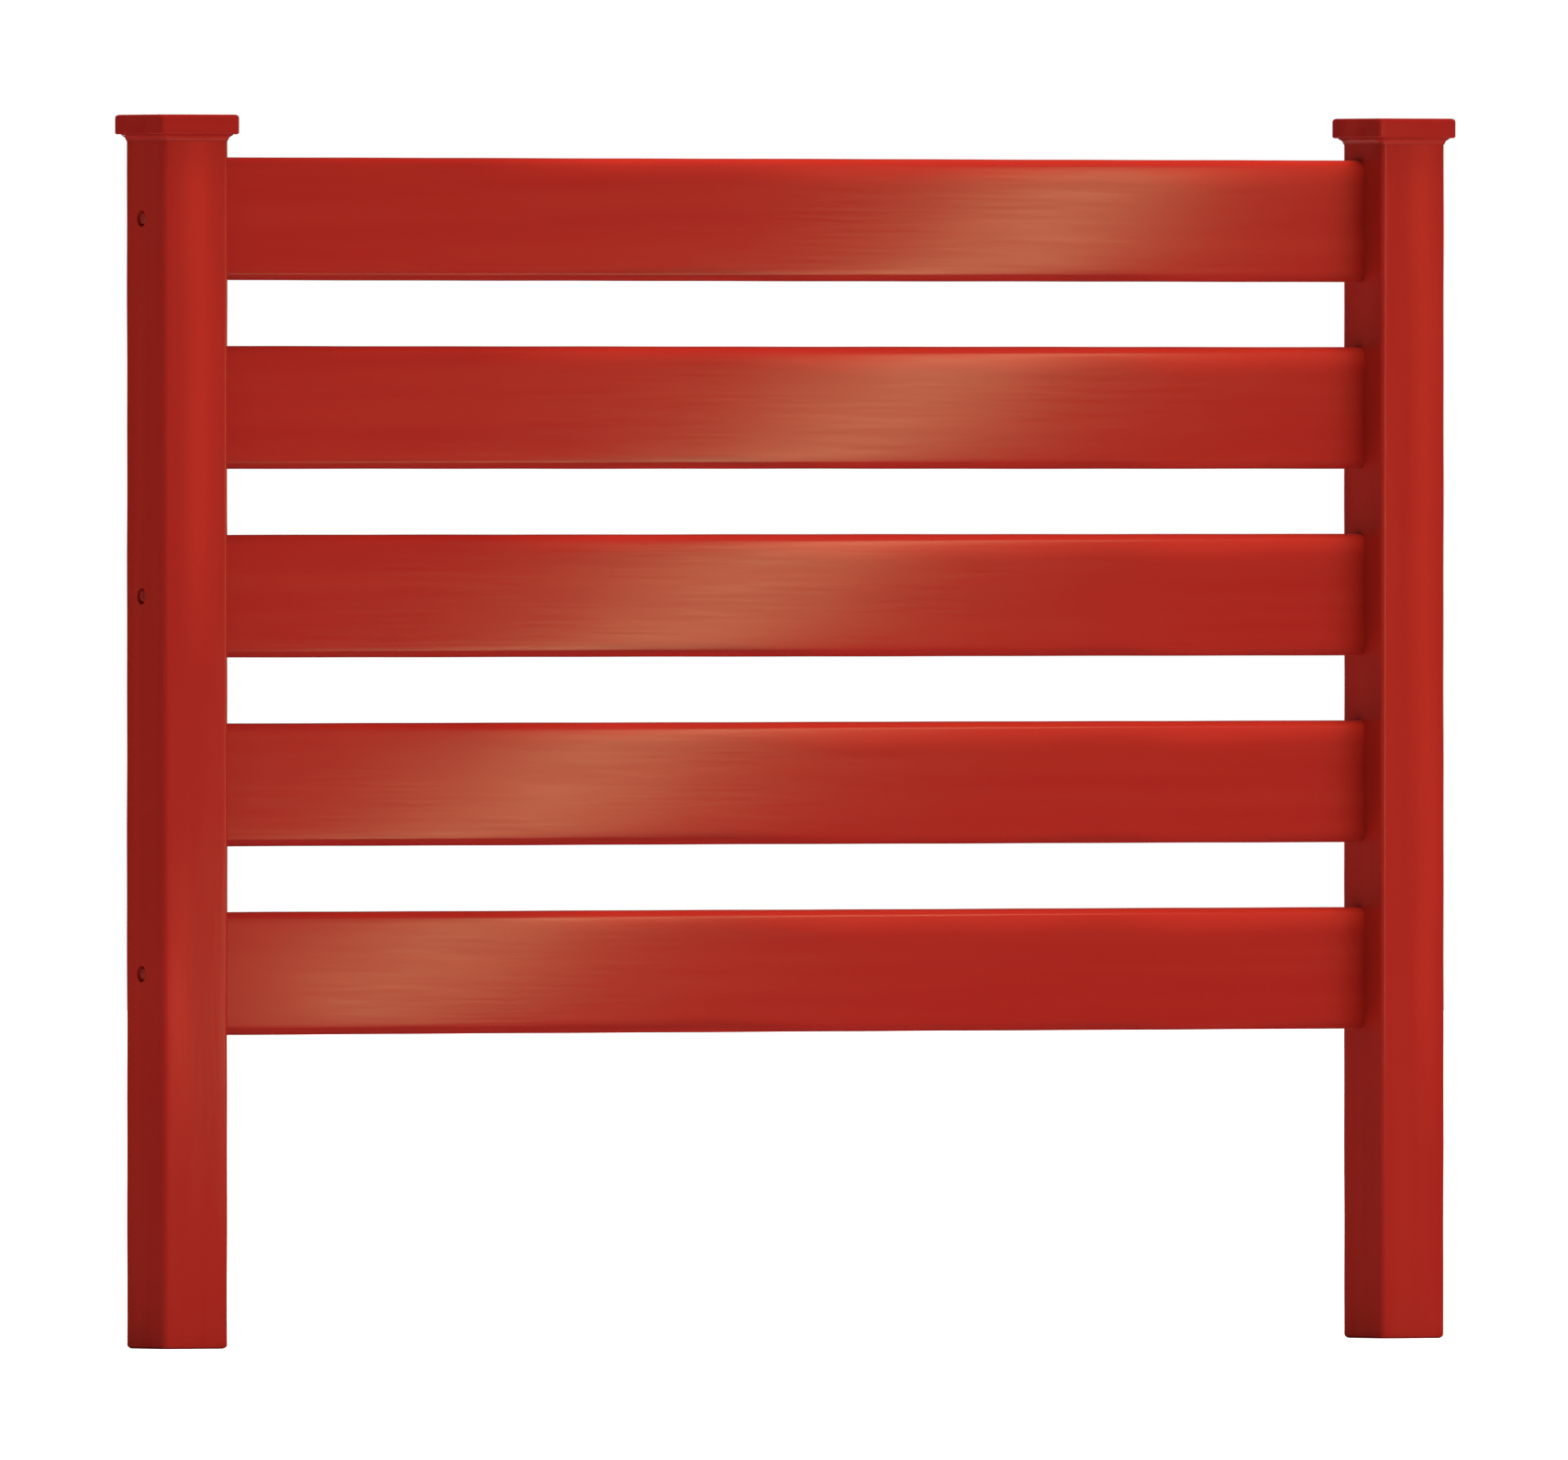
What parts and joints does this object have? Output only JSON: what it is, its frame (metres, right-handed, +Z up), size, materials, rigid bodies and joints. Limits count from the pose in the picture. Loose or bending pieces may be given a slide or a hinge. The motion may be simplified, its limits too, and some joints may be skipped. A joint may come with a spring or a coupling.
{
  "type": "livestock panel",
  "caption": "Painted timber post-and-rail stock panel with capped square posts and let-in horizontal boards.",
  "frame": {"origin": "on the floor, midway between the two posts and midway through their depth", "axes": "+X along the boards from the left post to the right post, -Y is the front, +Z up"},
  "size_m": [1.844, 0.112, 1.49],
  "materials": {
    "post_paint": "gloss red paint on planed timber",
    "rail_paint": "gloss red paint on planed boards",
    "cap_paint": "gloss red paint, cap plates",
    "moulding_paint": "gloss red paint, cove moulding",
    "painted_peg": "gloss red paint over peg ends",
    "painted_bolt": "steel bolt painted over in its recess",
    "zinc_steel": "zinc plated steel",
    "bare_timber": "bare beech dowel"
  },
  "bodies": {
    "root": {"left_barrel_nuts": "zinc_steel", "left_bolts": "painted_bolt", "left_cap": "cap_paint", "left_cap_dowels": "bare_timber", "left_cove_back": "moulding_paint", "left_cove_front": "moulding_paint", "left_cove_inner": "moulding_paint", "left_cove_outer": "moulding_paint", "left_pegs": "painted_peg", "left_post": "post_paint", "left_washers": "painted_bolt", "rail_1": "rail_paint", "rail_2": "rail_paint", "rail_3": "rail_paint", "rail_4": "rail_paint", "rail_5": "rail_paint", "right_barrel_nuts": "zinc_steel", "right_bolts": "painted_bolt", "right_cap": "cap_paint", "right_cap_dowels": "bare_timber", "right_cove_back": "moulding_paint", "right_cove_front": "moulding_paint", "right_cove_inner": "moulding_paint", "right_cove_outer": "moulding_paint", "right_pegs": "painted_peg", "right_post": "post_paint", "right_washers": "painted_bolt"}
  },
  "joints": []
}
